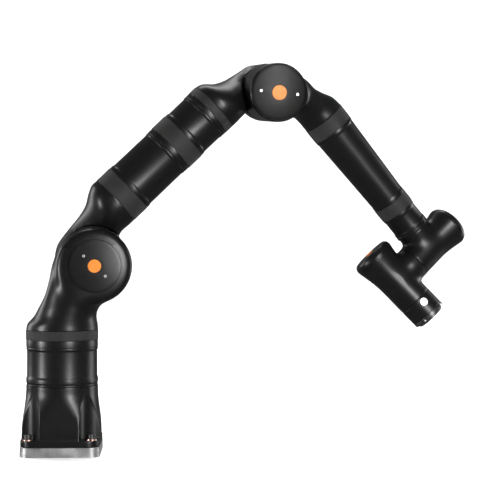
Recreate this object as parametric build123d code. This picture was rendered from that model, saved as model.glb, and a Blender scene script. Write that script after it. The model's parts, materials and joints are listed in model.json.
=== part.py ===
"""Seven-axis collaborative robot arm, posed as a raised arch over its square base.

Millimetres, +Z up. The origin is the centre of the mounting plate's underside. Every link is
modelled in its own frame and placed by the chain of joint frames below.
"""
import math
import os

from build123d import *

# ---- Driving dimensions -------------------------------------------------------------------
PLATE_T = 20.0            # aluminium mounting plate
BASE_W = 160.0            # square foot of the base casting
FOOT_T = 13.0             # its thickness, which the bolts clamp
BASE_H = 119.7            # height of the base casting
BOLT_OFFSET = 64.0        # base bolts from the centre, along X and Y
BENCH_OFFSET = 36.0       # countersunk plate holes from the centre, along X and Y

JOINT1_Z = 213.0          # base joint plane, above the plate
SHOULDER_X = 64.0         # shoulder axis ahead of the base axis
SHOULDER_Z = 364.0        # shoulder axis above the plate
UPPER_ARM = 520.0         # shoulder axis to elbow axis, along the upper arm tube
UPPER_OFFSET = 66.0       # upper arm tube axis beside the shoulder axis
ELBOW_OFFSET = 62.0       # and beside the elbow axis
FOREARM = 482.0           # elbow axis to wrist axis, along the forearm tube
FORE_OFFSET = 53.0        # forearm tube axis beside the elbow axis
WRIST_OFFSET = 108.0      # forearm axis to tool axis, along the wrist axis
TOOL_REACH = 109.5        # wrist axis to the tool face

ARM_YAW = 5.0             # rest pose, degrees
ARM_LIFT = 43.7
UPPER_ROLL = 7.6
ELBOW_BEND = 92.8
FORE_ROLL = -14.8
WRIST_BEND = -12.4

R_BAND1 = 74.3            # outer radii of the round sections
R_UPPER = 56.0
R_FORE_BIG = 46.0
R_FORE_SMALL = 38.8
R_WRIST = 38.0
R_WRIST_CAP = 46.5
R_SHOULDER = 77.0
R_ELBOW = 61.0

GAP = 0.3                 # running gap at each joint plane
SHOULDER_SPLIT = 13.0     # Y plane between the side-by-side housings
SHOULDER_FRONT = -78.0    # their outer faces
SHOULDER_BACK = 78.0
ELBOW_SPLIT = 24.0
ELBOW_FRONT = -70.0
ELBOW_BACK = 84.0
WALL = 7.0                # casting wall
BULKHEAD = 10.0           # casting wall that carries a drive
BAND_WALL = 8.0

BAND1_TOP = 232.0         # top of the band that turns on the base
# upper arm stations, from the shoulder axis along the tube
BAND1 = (126.0, 161.0)
BAND2 = (283.0, 318.5)
BAND3 = (390.0, 407.0)
ELBOW_TUBE = BAND3[1] - UPPER_ARM      # the elbow housing's end, from the elbow axis
# forearm stations, from the elbow axis along the tube
BAND4 = (114.0, 144.5)
BAND5 = (345.0, 373.0)
JOINT5_X = 429.0
STUB_LOW = JOINT5_X + GAP - FOREARM    # the wrist housing's end, from the wrist axis
# wrist stations, along the wrist axis and the tool axis
JOINT6_Z = -52.0
WRIST_TOP = 82.0
WRIST_CAP_T = 15.0
COLLAR_TOP = WRIST_OFFSET + JOINT6_Z - GAP
TOOL_CAP_END = -81.0
JOINT7_X = 59.0
HEAD_LOW = JOINT7_X + GAP
HEAD_HIGH = 96.0          # end of the tool head's barrel
RIM_HIGH = 104.5          # end of the tool flange's rim
BOSS_R = 31.5             # tool flange boss

# covers, lenses and small fasteners
COVER_R = 53.5
COVER_T = 4.0
REAR_COVER_R = 47.0
ELBOW_COVER_R = 57.0
LENS_R = 13.3
ELBOW_LENS_R = 15.2
CAP_LENS_R = 9.0
SCREW_R = 2.8
WASHER_T = 2.5

# connector panel, sunk in the back of the base
PANEL_Y = 70.0
PANEL_W, PANEL_LOW, PANEL_HIGH = 64.0, 24.0, 66.0
PANEL_MID = (PANEL_LOW + PANEL_HIGH) / 2
CONNECTORS = [(-15.0, 13.0), (13.0, 9.0)]     # place along X, collar radius

# tool interface
SOCKET_X, SOCKET_R, SOCKET_TURN = 70.0, 8.6, 6.3
TOOL_HOLE_R = 2.5
TOOL_PCD = 50.0
TOOL_RECESS_R = 15.75
RIM_SCREWS = [48.0, 138.0, 228.0, 318.0]   # turns about the tool axis, degrees
RIM_SCREW_R = 36.2        # their circle and head height
RIM_SCREW_H = 4.0

# drives: radius, hollow shaft radius, motor length, gear length, top of the output flange
FLANGE_SEAT = 6.3
FLANGE_SHARE = 0.8        # output flange radius over drive radius
DRIVE1 = (64.0, 16.0, 34.0, 30.0, 25.0)
DRIVE2 = (69.8, 18.0, 30.0, 26.0, FLANGE_SEAT)
DRIVE3 = (48.8, 14.0, 26.0, 24.0, 22.3)
DRIVE4 = (53.8, 14.0, 20.0, 22.0, FLANGE_SEAT)
DRIVE5 = (32.6, 10.0, 22.0, 20.0, FLANGE_SEAT)
DRIVE6 = (32.8, 10.0, 26.0, 20.0, FLANGE_SEAT)
DRIVE7 = (32.8, 10.0, 30.0, 20.0, 5.3)

# ---- Casting sections ---------------------------------------------------------------------
BASE_FORM = [             # height, width, corner radius
    (FOOT_T - 1, 160.0, 30.0), (30, 158.8, 34.0), (56, 154.4, 46.0),
    (80, 150.4, 62.0), (102, 148.0, 73.6), (BASE_H, 147.0, 73.4)]
SHOULDER_FORM = [         # height, X low, X high, Y low, Y high
    (BAND1_TOP, -74.0, 74.0, -74.0, 74.0),
    (244.0, -71.5, 73.0, -74.0, 73.0),
    (260.0, -58.0, 70.5, -74.5, 62.0),
    (280.0, -47.0, 75.0, -75.5, 38.0),
    (303.0, -36.0, 90.0, -76.0, 12.5),
    (334.0, -27.0, 112.0, -76.5, 12.5),
    (364.0, -19.5, 122.0, -76.5, 12.5),
    (392.0, -7.0, 112.0, -76.0, 12.0)]
UPPER_NECK = [            # station, Y low, Y high, Z low, Z high
    (-48.0, 16.0, 74.0, -10.0, 62.0),
    (-28.0, 15.5, 75.5, -10.0, 78.0),
    (0.0, 14.5, 76.0, -10.0, 86.0),
    (26.0, 8.0, 76.0, -6.0, 90.5),
    (50.0, -14.0, 74.0, 2.0, 94.0),
    (74.0, -38.0, 66.0, 9.0, 101.0),
    (96.0, -53.0, 58.0, 11.0, 115.0),
    (112.0, -56.0, 56.0, 10.0, 122.0),
    (BAND1[0], -56.0, 56.0, 10.0, 122.0)]
ELBOW_NECK = [            # station, Y low, Y high, Z low, Z high
    (34.0, 27.0, 79.0, -24.0, 42.0),
    (14.0, 26.0, 81.0, -22.0, 63.5),
    (-10.0, 20.0, 81.0, -15.0, 71.5),
    (-34.0, 0.0, 78.0, -5.0, 77.5),
    (-56.0, -26.0, 71.0, 2.5, 84.5),
    (-78.0, -48.0, 61.0, 6.0, 96.5),
    (-98.0, -56.0, 56.5, 6.0, 113.5),
    (ELBOW_TUBE, -56.0, 56.0, 6.0, 118.0)]
FORE_NECK = [             # station, Y low, Y high, Z low, Z high
    (-24.0, -67.0, 18.0, -44.0, 50.0),
    (2.0, -67.5, 20.0, -42.0, 60.5),
    (28.0, -67.0, 23.0, -27.0, 70.5),
    (50.0, -62.0, 30.0, -8.0, 73.5),
    (70.0, -55.0, 38.0, 2.5, 83.0),
    (90.0, -48.0, 44.0, 6.5, 94.5),
    (BAND4[0], -46.0, 46.0, 7.0, 99.0)]
WRIST_STUB = [            # station, Y low, Y high, Z low, Z high
    (STUB_LOW, -37.0, 37.0, -37.0, 37.0), (-42.0, -36.5, 36.5, -36.5, 36.5),
    (-28.0, -35.5, 35.5, -38.0, 37.0), (-8.0, -34.0, 34.0, -39.0, 38.0)]
TOOL_COLLAR = [           # station, X low, X high, Y low, Y high
    (4.0, -34.0, 34.0, -35.0, 35.0), (28.0, -37.5, 37.5, -37.5, 37.5),
    (40.0, -38.0, 38.0, -38.0, 38.0), (COLLAR_TOP, -38.0, 38.0, -38.0, 38.0)]

# ---- Joint frames -------------------------------------------------------------------------
BASE = Pos(0, 0, PLATE_T)
SHOULDER = BASE * Rot(0, 0, ARM_YAW)
UPPER = SHOULDER * Pos(SHOULDER_X, 0, SHOULDER_Z) * Rot(0, -ARM_LIFT, 0)
ELBOW = UPPER * Pos(UPPER_ARM, 0, UPPER_OFFSET) * Rot(UPPER_ROLL, 0, 0) * Pos(0, 0, -ELBOW_OFFSET)
FORE = ELBOW * Rot(0, ELBOW_BEND, 0)
WRIST = FORE * Pos(FOREARM, 0, FORE_OFFSET) * Rot(FORE_ROLL, 0, 0)
TOOL = WRIST * Rot(0, 0, WRIST_BEND) * Pos(0, 0, -WRIST_OFFSET)

TO_X = Rot(0, 90, 0)      # turns a solid drawn along +Z to lie along +X
TO_Y = Rot(-90, 0, 0)     # the same along +Y


# ---- Shape helpers ------------------------------------------------------------------------
def disc(radius, low, high):
    """Solid cylinder on the Z axis between two heights."""
    return Pos(0, 0, (low + high) / 2) * Cylinder(radius, high - low)


def ring(outer, inner, low, high):
    """Tube on the Z axis between two heights."""
    return disc(outer, low, high) - disc(inner, low - 1, high + 1)


def turned(profile):
    """Solid turned about Z from (radius, height) corners; the axis closes it."""
    low, high = profile[0][1], profile[-1][1]
    corners = [(0, 0, low), *[(r, 0, z) for r, z in profile], (0, 0, high)]
    return revolve(make_face(Polyline(*corners, close=True)), Axis.Z)


def softened(solid, radius, height):
    """Round the circular edges of a turned solid that lie at one height."""
    edges = [e for e in solid.edges().filter_by(GeomType.CIRCLE) if abs(e.center().Z - height) < 0.01]
    widest = max(e.radius for e in edges)
    return fillet([e for e in edges if abs(e.radius - widest) < 0.01], radius)


def neck(sections, plane_at, inset=0.0):
    """Smooth loft through ellipses given as (station, low_a, high_a, low_b, high_b)."""
    faces = []
    for station, low_a, high_a, low_b, high_b in sections:
        half_a, half_b = (high_a - low_a) / 2 - inset, (high_b - low_b) / 2 - inset
        centre = Pos((low_a + high_a) / 2, (low_b + high_b) / 2)
        faces.append(plane_at(station) * centre * Ellipse(half_a, half_b))
    return loft(faces)


def level(z):
    """Plane across the base axis: a runs along X, b along Y."""
    return Plane(origin=(0, 0, z), x_dir=(1, 0, 0), z_dir=(0, 0, 1))


def across(x):
    """Plane across a tube: a runs along Y, b along Z."""
    return Plane(origin=(x, 0, 0), x_dir=(0, 1, 0), z_dir=(1, 0, 0))


def at_corners(offset, solid):
    """Four copies of a solid at the corners of a square about the Z axis."""
    return [Pos(sx * offset, sy * offset, 0) * solid for sx in (-1, 1) for sy in (-1, 1)]


# ---- Drive units: motor, strain-wave gear and output flange, drawn along +Z ------------------
def drive_unit(radius, bore, motor_len, gear_len, flange_top):
    """Motor and gear below the joint plane z = 0, output flange above it, all hollow."""
    boss_r = radius * 0.6
    gear = ring(radius, boss_r + 0.1, -gear_len, 0) + ring(boss_r + 0.1, bore, -gear_len, -gear_len * 0.6)
    motor = ring(radius * 0.9, bore, -gear_len - motor_len, -gear_len)
    motor -= ring(radius, radius * 0.85, -gear_len - motor_len * 0.7, -gear_len - motor_len * 0.3)
    flange = ring(radius * FLANGE_SHARE, bore, GAP, flange_top) + ring(boss_r, bore, -gear_len * 0.5, GAP)
    return motor, gear, flange


# ---- Base -----------------------------------------------------------------------------------
def mounting_plate():
    plate = extrude(RectangleRounded(BASE_W, BASE_W, 20), -PLATE_T)
    plate = chamfer(plate.edges().group_by(Axis.Z)[-1], 0.8)
    for hole in at_corners(BOLT_OFFSET, disc(5.1, -PLATE_T - 1, 1)):
        plate -= hole
    for hole in at_corners(BENCH_OFFSET, disc(4.5, -PLATE_T - 1, 1)):
        plate -= hole
    sink = Pos(0, 0, -2.25) * Cone(4.5, 9.0, 4.5)
    for hole in at_corners(BENCH_OFFSET, sink):
        plate -= hole
    return plate


def base_casting():
    body = loft([level(z) * RectangleRounded(w, w, r) for z, w, r in BASE_FORM])
    for pocket in at_corners(BASE_W / 2, disc(39.5, FOOT_T, BASE_H + 1)):
        body -= pocket
    foot = extrude(RectangleRounded(BASE_W, BASE_W, 26), FOOT_T)
    foot = chamfer(foot.edges().group_by(Axis.Z)[-1], 1.2)
    body = body + foot - disc(62, -1, BASE_H + 1)
    for hole in at_corners(BOLT_OFFSET, disc(5.5, -1, FOOT_T + 1)):
        body -= hole
    middle = Pos(0, 0, (PANEL_LOW + PANEL_HIGH) / 2)
    recess = middle * Pos(0, PANEL_Y + 10, 0) * Box(PANEL_W, 20, PANEL_HIGH - PANEL_LOW)
    window = middle * Pos(0, PANEL_Y - 5, 0) * Box(PANEL_W - 12, 30, PANEL_HIGH - PANEL_LOW - 12)
    return body - recess - window


def base_washers():
    return at_corners(BOLT_OFFSET, ring(11.0, 5.3, FOOT_T, FOOT_T + WASHER_T))


def socket_bolt(shank_r, length, head_r, head_h, key):
    """Socket head bolt, head seat at z = 0, shank down."""
    head = softened(disc(head_r, 0, head_h), 1.0, head_h)
    socket = extrude(Pos(0, 0, head_h) * RegularPolygon(key, 6), -head_h * 0.6)
    return head - socket + disc(shank_r, -length, 0)


def base_bolts():
    seat = FOOT_T + WASHER_T
    return at_corners(BOLT_OFFSET, Pos(0, 0, seat) * socket_bolt(5.0, 31, 8.0, 10.0, 4.6))


def connector_panel():
    """Back plate with a power socket and a smaller signal socket."""
    plate = Pos(0, PANEL_Y + 1.5, PANEL_MID) * Box(PANEL_W - 1, 3, PANEL_HIGH - PANEL_LOW - 1)
    pieces = []
    for x, radius in CONNECTORS:
        front = Pos(x, PANEL_Y + 3, PANEL_MID) * TO_Y
        plate -= front * disc(radius * 0.75, -20, 5)
        collar = ring(radius, radius * 0.62, 0, 6) + ring(radius * 0.74, radius * 0.62, -10, 0)
        pieces.append(front * (collar + disc(radius * 0.63, -9, -2)))
    return [plate, *pieces]


def base_drive_housing():
    low, high = BASE_H, JOINT1_Z - GAP
    outer = turned([
        (73.2, low), (73.2, low + 1.5), (72.3, low + 2.2), (72.3, low + 4), (73.8, low + 6),
        (73.8, low + 15), (72.0, low + 19), (72.0, low + 71), (73.6, low + 74), (73.6, low + 76),
        (72.6, low + 76.8), (72.6, low + 78.2), (73.6, low + 79), (73.6, high)])
    return outer - disc(64.2, low + 8, high + 1) - disc(50, low - 1, low + 9)


# ---- Shoulder -------------------------------------------------------------------------------
SHOULDER_AXIS = Pos(SHOULDER_X, 0, SHOULDER_Z) * TO_Y


def shoulder_drum():
    """Front half of the shoulder, a short drum on the shoulder axis."""
    drum = softened(disc(R_SHOULDER, SHOULDER_FRONT, SHOULDER_SPLIT), 9.0, SHOULDER_FRONT)
    return SHOULDER_AXIS * softened(drum, 1.5, SHOULDER_SPLIT)


def shoulder_housing():
    clear = SHOULDER_AXIS * disc(R_SHOULDER + 14, SHOULDER_SPLIT, 200)
    shell = neck(SHOULDER_FORM, level) - clear + shoulder_drum()
    shell -= neck([(BAND1_TOP + BULKHEAD, *SHOULDER_FORM[1][1:]), *SHOULDER_FORM[2:6]], level, WALL)
    shell -= SHOULDER_AXIS * disc(R_SHOULDER - WALL, SHOULDER_FRONT + 12, SHOULDER_SPLIT + 1)
    shell -= SHOULDER_AXIS * disc(COVER_R + 0.3, SHOULDER_FRONT - 1, SHOULDER_FRONT + COVER_T)
    shell -= SHOULDER_AXIS * disc(COVER_R - 4, SHOULDER_FRONT, SHOULDER_FRONT + 20)
    return shell - disc(DRIVE1[0] * FLANGE_SHARE, 225, 238) - disc(DRIVE1[1], 225, 250)


def cover(radius, lens_r, screw_r, screws):
    """Round cover with its outside face at z = 0, holes for a lens and for two screws."""
    plate = softened(disc(radius, 0, COVER_T), 0.8, 0)
    if lens_r:
        plate -= disc(lens_r + 0.1, -1, COVER_T + 1)
    for x, y in screws:
        plate -= Pos(x, y, 0) * disc(screw_r, -1, COVER_T + 1)
    return plate


def cover_screws(head_r, screws):
    """Small screws with their heads just under the cover's outside face at z = 0."""
    made = []
    for x, y in screws:
        screw = disc(head_r - 0.1, 0.3, 3.0) + disc(1.5, 3.0, 9.0)
        socket = extrude(Pos(0, 0, 0.3) * RegularPolygon(1.5, 6), 1.6)
        made.append(Pos(x, y, 0) * (screw - socket))
    return made


def lens(radius):
    """Round lens, a little proud of the cover's outside face at z = 0."""
    return softened(disc(radius, -0.8, COVER_T), 0.7, -0.8)


# ---- Upper arm ------------------------------------------------------------------------------

def tube_at(offset, solid):
    """Lay a solid drawn along +Z on a tube axis that runs along +X beside the joint axes."""
    return Pos(0, 0, offset) * TO_X * solid


def side_drum(radius, low, high, soft_end, soft):
    """Drum on a Y axis with one strongly rounded end and one crisp end."""
    drum = disc(radius, low, high)
    crisp_end = low if soft_end == high else high
    return TO_Y * softened(softened(drum, soft, soft_end), 1.5, crisp_end)


def upper_arm_knuckle():
    split = SHOULDER_SPLIT + GAP
    body = neck(UPPER_NECK, across) - TO_Y * disc(R_SHOULDER + 3.0, -200, split)
    body += side_drum(R_SHOULDER, split, SHOULDER_BACK, SHOULDER_BACK, 9.0)
    body -= neck([*UPPER_NECK[3:], (BAND1[0] + 2, *UPPER_NECK[-1][1:])], across, WALL)
    body -= TO_Y * disc(R_SHOULDER - WALL, split + BULKHEAD, SHOULDER_BACK - 12)
    body -= TO_Y * disc(COVER_R + 0.3, SHOULDER_BACK - COVER_T, SHOULDER_BACK + 1)
    body -= TO_Y * disc(COVER_R - 4, SHOULDER_BACK - 20, SHOULDER_BACK)
    body -= TO_Y * disc(DRIVE2[0] * FLANGE_SHARE, 0, SHOULDER_SPLIT + FLANGE_SEAT)
    return body - TO_Y * disc(DRIVE2[1], 0, 40)


def band(radius, span, wall=BAND_WALL):
    """Soft ring around a tube, with lightly broken edges."""
    low, high = span
    body = disc(radius, low, high)
    body = softened(softened(body, 0.6, low), 0.6, high)
    return body - disc(radius - wall, low - 1, high + 1)


def tube_shell(profile, inner):
    """Turned tube wall about +Z with a plain bore."""
    return turned(profile) - disc(inner, profile[0][1] - 1, profile[-1][1] + 1)


def grooved_profile(r_low, r_high, low, high, lip, collar):
    """Profile with a lip at its low end, a slim middle, and a grooved collar at its high end."""
    waist_low, waist_high = r_low - 1.6, r_high - 1.4
    return [(r_low, low), (r_low, low + lip), (waist_low, low + lip + 3),
            (waist_high, high - collar - 5), (r_high, high - collar - 3),
            (r_high, high - collar), (r_high - 1.2, high - collar + 0.6),
            (r_high - 1.2, high - collar + 2), (r_high, high - collar + 2.6), (r_high, high)]


# ---- Elbow ----------------------------------------------------------------------------------
def elbow_housing():
    split = ELBOW_SPLIT + GAP
    body = neck(ELBOW_NECK, across) - TO_Y * disc(R_ELBOW + 1.5, -200, split)
    body += side_drum(R_ELBOW, split, ELBOW_BACK, ELBOW_BACK, 8.0)
    body -= neck(ELBOW_NECK[3:7], across, WALL)
    body -= tube_at(ELBOW_OFFSET, disc(DRIVE3[0] * FLANGE_SHARE, ELBOW_TUBE - 1, ELBOW_TUBE + 5))
    body -= tube_at(ELBOW_OFFSET, disc(DRIVE3[1], ELBOW_TUBE - 1, ELBOW_TUBE + 20))
    body -= TO_Y * disc(R_ELBOW - WALL, split - 1, ELBOW_BACK - 10)
    body -= TO_Y * disc(REAR_COVER_R + 0.3, ELBOW_BACK - COVER_T, ELBOW_BACK + 1)
    return body - TO_Y * disc(REAR_COVER_R - 4, ELBOW_BACK - 20, ELBOW_BACK)


# ---- Forearm --------------------------------------------------------------------------------
def forearm_knuckle():
    body = neck(FORE_NECK, across) - TO_Y * disc(R_ELBOW + 1.5, ELBOW_SPLIT, 200)
    body += side_drum(R_ELBOW, ELBOW_FRONT, ELBOW_SPLIT, ELBOW_FRONT, 4.0)
    body -= neck([*FORE_NECK[2:], (BAND4[0] + 2, *FORE_NECK[-1][1:])], across, WALL)
    body -= TO_Y * disc(R_ELBOW - WALL, ELBOW_FRONT + 8, ELBOW_SPLIT - BULKHEAD)
    body -= TO_Y * disc(ELBOW_COVER_R + 0.2, ELBOW_FRONT - 1, ELBOW_FRONT + COVER_T)
    body -= TO_Y * disc(ELBOW_COVER_R - 5, ELBOW_FRONT, ELBOW_FRONT + 20)
    body -= TO_Y * disc(DRIVE4[0] * FLANGE_SHARE, ELBOW_SPLIT + GAP - FLANGE_SEAT, ELBOW_SPLIT + 1)
    return body - TO_Y * disc(DRIVE4[1], -20, ELBOW_SPLIT + 1)


def forearm_tube():
    low, high = BAND4[1], BAND5[0]
    profile = [(R_FORE_BIG, low), (R_FORE_BIG, low + 6), (R_FORE_BIG - 1.2, low + 8),
               (R_FORE_SMALL - 0.2, high - 8), (R_FORE_SMALL + 0.4, high - 6), (R_FORE_SMALL + 0.4, high)]
    return tube_shell(profile, R_FORE_SMALL - 6)


# ---- Wrist and tool head --------------------------------------------------------------------
def wrist_barrel(low, high):
    """Straight barrel that flares to the cap at its high end, drawn along +Z."""
    return turned([(R_WRIST, low), (R_WRIST, high - 52), (R_WRIST + 0.7, high - 42),
                   (R_WRIST + 2.2, high - 31), (R_WRIST + 4.8, high - 19),
                   (R_WRIST_CAP - 1.2, high - 9), (R_WRIST_CAP, high)])


def wrist_housing():
    top = WRIST_TOP - WRIST_CAP_T
    body = wrist_barrel(JOINT6_Z, top)
    body += neck(WRIST_STUB, across)
    body -= disc(R_WRIST - 5, JOINT6_Z - 1, top + 1)
    body -= TO_X * disc(DRIVE5[0] * FLANGE_SHARE, STUB_LOW - 1, STUB_LOW + 6)
    return body - TO_X * disc(DRIVE5[1], STUB_LOW - 1, -20)


def end_cap(radius, thick, soft):
    """Domed cap on the Z axis, seat at z = 0."""
    return softened(disc(radius, 0, thick), soft, thick) - disc(radius - 6, -1, thick - 5)


def tool_drive_housing():
    body = TO_X * Rot(180, 0, 0) * wrist_barrel(-JOINT7_X, -TOOL_CAP_END - WRIST_CAP_T)
    body += neck(TOOL_COLLAR, level)
    body -= TO_X * disc(R_WRIST - 5, TOOL_CAP_END, JOINT7_X + 1)
    body -= disc(DRIVE6[0] * FLANGE_SHARE, COLLAR_TOP - 6, COLLAR_TOP + 1)
    return body - disc(DRIVE6[1], 20, COLLAR_TOP + 1)


def tool_head():
    body = turned([(R_WRIST - 0.6, HEAD_LOW), (R_WRIST - 0.6, HEAD_LOW + 1.2), (R_WRIST, HEAD_LOW + 2),
                   (R_WRIST, HEAD_HIGH - 1.2), (R_WRIST - 0.8, HEAD_HIGH)])
    body -= disc(30, HEAD_LOW + 8, HEAD_HIGH + 1)
    body -= disc(DRIVE7[0] * FLANGE_SHARE, HEAD_LOW - 1, HEAD_LOW + 5)
    body = TO_X * (body - disc(DRIVE7[1], HEAD_LOW - 1, HEAD_LOW + 9))
    return body - TOOL_SOCKET * disc(SOCKET_R + 0.1, -14, 20)


TOOL_SOCKET = Pos(SOCKET_X, 0, 0) * Rot(90 + SOCKET_TURN, 0, 0) * Pos(0, 0, R_WRIST - 4)


def tool_connector():
    """Round metal socket set radially in the side of the tool head."""
    body = softened(ring(SOCKET_R, 5.6, -6, 5.6), 0.6, 5.6) + disc(5.7, -6, 1.5)
    for i in range(4):
        body += Rot(0, 0, 45 + 90 * i) * Pos(2.6, 0, 0) * disc(0.5, 1, 4)
    return TOOL_SOCKET * body


def tool_flange():
    """Tool plate with four M6 holes on a 50 mm circle, a centring recess and a dowel hole."""
    body = turned([(R_WRIST - 0.6, HEAD_HIGH), (R_WRIST - 0.6, HEAD_HIGH + 1), (R_WRIST, HEAD_HIGH + 1.6),
                   (R_WRIST, RIM_HIGH - 1.2), (R_WRIST - 1.2, RIM_HIGH), (BOSS_R, RIM_HIGH),
                   (BOSS_R, TOOL_REACH - 1), (BOSS_R - 1, TOOL_REACH)])
    body -= disc(TOOL_RECESS_R, TOOL_REACH - 4, TOOL_REACH + 1)
    for i in range(4):
        body -= Rot(0, 0, 45 + 90 * i) * Pos(TOOL_PCD / 2, 0, 0) * disc(
            TOOL_HOLE_R, HEAD_HIGH - 1, TOOL_REACH + 1)
    body -= Pos(TOOL_PCD / 2, 0, 0) * disc(3.0, HEAD_HIGH - 1, TOOL_REACH + 1)
    for turn in RIM_SCREWS:
        body -= Rot(0, 0, turn) * Pos(R_WRIST, 0, RIM_HIGH) * Box(10.4, 8.4, 2 * RIM_SCREW_H + 1)
        body -= Rot(0, 0, turn) * Pos(RIM_SCREW_R, 0, 0) * disc(1.6, HEAD_HIGH - 1, RIM_HIGH)
    return TO_X * body


def flange_screws():
    """Bright screws in notches around the flange rim."""
    seat = RIM_HIGH - RIM_SCREW_H - 0.5
    screw = socket_bolt(1.5, seat - HEAD_HIGH, 2.9, RIM_SCREW_H, 1.5)
    return [TO_X * Rot(0, 0, turn) * Pos(RIM_SCREW_R, 0, seat) * screw for turn in RIM_SCREWS]


# ---- Node table: name, frame, solid ----------------------------------------------------------
def side_screws(radius, turn):
    """Two screw places, opposite each other on a circle."""
    a = math.radians(turn)
    return [(radius * math.cos(a), radius * math.sin(a)), (-radius * math.cos(a), -radius * math.sin(a))]


def build():
    nodes = {}

    def add(name, frame, made):
        many = isinstance(made, list)
        nodes[name] = Compound(children=[frame * m for m in made]) if many else frame * made

    def add_drive(prefix, fixed, moving, sizes):
        """Motor and gear stay with the fixed frame; the flange turns with the moving one."""
        motor, gear, flange = drive_unit(*sizes)
        add(f"{prefix}_motor", fixed, motor)
        add(f"{prefix}_gear", fixed, gear)
        add(f"{prefix}_output_flange", moving, flange)

    add("mounting_plate", BASE, mounting_plate())
    add("base_casting", BASE, base_casting())
    add("base_bolts", BASE, base_bolts())
    add("base_washers", BASE, base_washers())
    add("connector_panel", BASE, connector_panel())
    add("base_drive_housing", BASE, base_drive_housing())
    joint1 = Pos(0, 0, JOINT1_Z - GAP)
    add_drive("base", BASE * joint1, SHOULDER * joint1, DRIVE1)

    add("base_joint_band", SHOULDER, band(R_BAND1, (JOINT1_Z, BAND1_TOP)))
    add("shoulder_housing", SHOULDER, shoulder_housing())
    front = SHOULDER * SHOULDER_AXIS * Pos(0, 0, SHOULDER_FRONT)
    places = side_screws(29.6, 43.2)
    add("shoulder_cover", front, cover(COVER_R, LENS_R, SCREW_R, places))
    add("shoulder_cover_screws", front, cover_screws(SCREW_R, places))
    add("shoulder_lens", front, lens(LENS_R))
    joint2 = TO_Y * Pos(0, 0, SHOULDER_SPLIT)
    add_drive("shoulder", SHOULDER * Pos(SHOULDER_X, 0, SHOULDER_Z) * joint2, UPPER * joint2, DRIVE2)

    add("upper_arm_knuckle", UPPER, upper_arm_knuckle())
    back = UPPER * Pos(0, SHOULDER_BACK, 0) * Rot(90, 0, 0)
    add("upper_arm_rear_cover", back, cover(COVER_R, 0, SCREW_R, places))
    add("upper_arm_rear_screws", back, cover_screws(SCREW_R, places))
    upper_tube = UPPER * Pos(0, 0, UPPER_OFFSET) * TO_X
    add("lower_arm_band", upper_tube, band(R_UPPER + 0.4, BAND1))
    add("upper_arm_tube", upper_tube, tube_shell(
        grooved_profile(R_UPPER, R_UPPER - 0.5, BAND1[1], BAND2[0], 9, 14), R_UPPER - WALL))
    add("middle_arm_band", upper_tube, band(R_UPPER + 0.2, BAND2))
    add("roll_drive_housing", upper_tube, tube_shell(
        grooved_profile(R_UPPER - 0.5, R_UPPER - 0.5, BAND2[1], BAND3[0] - GAP, 8, 12), R_UPPER - WALL))
    joint3 = Pos(0, 0, BAND3[0] - GAP)
    elbow_tube = ELBOW * Pos(-UPPER_ARM, 0, ELBOW_OFFSET) * TO_X
    add_drive("upper_roll", upper_tube * joint3, elbow_tube * joint3, DRIVE3)

    add("elbow_joint_band", elbow_tube, band(R_UPPER, BAND3))
    add("elbow_housing", ELBOW, elbow_housing())
    back = ELBOW * Pos(0, ELBOW_BACK, 0) * Rot(90, 0, 0)
    places = side_screws(32.0, 0.0)
    add("elbow_rear_cover", back, cover(REAR_COVER_R, 0, SCREW_R, places))
    add("elbow_rear_screws", back, cover_screws(SCREW_R, places))
    joint4 = Pos(0, ELBOW_SPLIT + GAP, 0) * Rot(90, 0, 0)
    add_drive("elbow", ELBOW * joint4, FORE * joint4, DRIVE4)

    add("forearm_knuckle", FORE, forearm_knuckle())
    front = FORE * TO_Y * Pos(0, 0, ELBOW_FRONT)
    places = side_screws(38.7, 136.0)
    add("elbow_cover", front, cover(ELBOW_COVER_R, ELBOW_LENS_R, SCREW_R, places))
    add("elbow_cover_screws", front, cover_screws(SCREW_R, places))
    add("elbow_lens", front, lens(ELBOW_LENS_R))
    fore_tube = FORE * Pos(0, 0, FORE_OFFSET) * TO_X
    add("forearm_band", fore_tube, band(R_FORE_BIG + 0.4, BAND4))
    add("forearm_tube", fore_tube, forearm_tube())
    add("wrist_band", fore_tube, band(R_FORE_SMALL + 0.8, BAND5, 6.5))
    add("forearm_drive_housing", fore_tube, tube_shell(
        grooved_profile(R_FORE_SMALL, R_FORE_SMALL, BAND5[1], JOINT5_X, 6, 10), R_FORE_SMALL - 6))
    joint5 = Pos(0, 0, JOINT5_X)
    wrist_tube = WRIST * Pos(-FOREARM, 0, 0) * TO_X
    add_drive("forearm_roll", fore_tube * joint5, wrist_tube * joint5, DRIVE5)

    add("wrist_housing", WRIST, wrist_housing())
    add("wrist_cap", WRIST * Pos(0, 0, WRIST_TOP - WRIST_CAP_T), end_cap(R_WRIST_CAP, WRIST_CAP_T, 9.0))
    joint6 = Pos(0, 0, JOINT6_Z) * Rot(180, 0, 0)
    turned_wrist = TOOL * Pos(0, 0, WRIST_OFFSET)
    add_drive("wrist", WRIST * joint6, turned_wrist * joint6, DRIVE6)

    add("tool_drive_housing", TOOL, tool_drive_housing())
    tool_cap = TOOL * Pos(TOOL_CAP_END + WRIST_CAP_T, 0, 0) * Rot(0, -90, 0)
    lens_hole = disc(CAP_LENS_R + 0.1, 0, 20)
    add("tool_drive_cap", tool_cap, end_cap(R_WRIST_CAP, WRIST_CAP_T, 9.0) - lens_hole)
    add("tool_cap_lens", tool_cap * Pos(0, 0, WRIST_CAP_T) * Rot(180, 0, 0), lens(CAP_LENS_R))
    joint7 = TO_X * Pos(0, 0, JOINT7_X)
    add_drive("tool", TOOL * joint7, TOOL * joint7, DRIVE7)

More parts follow.
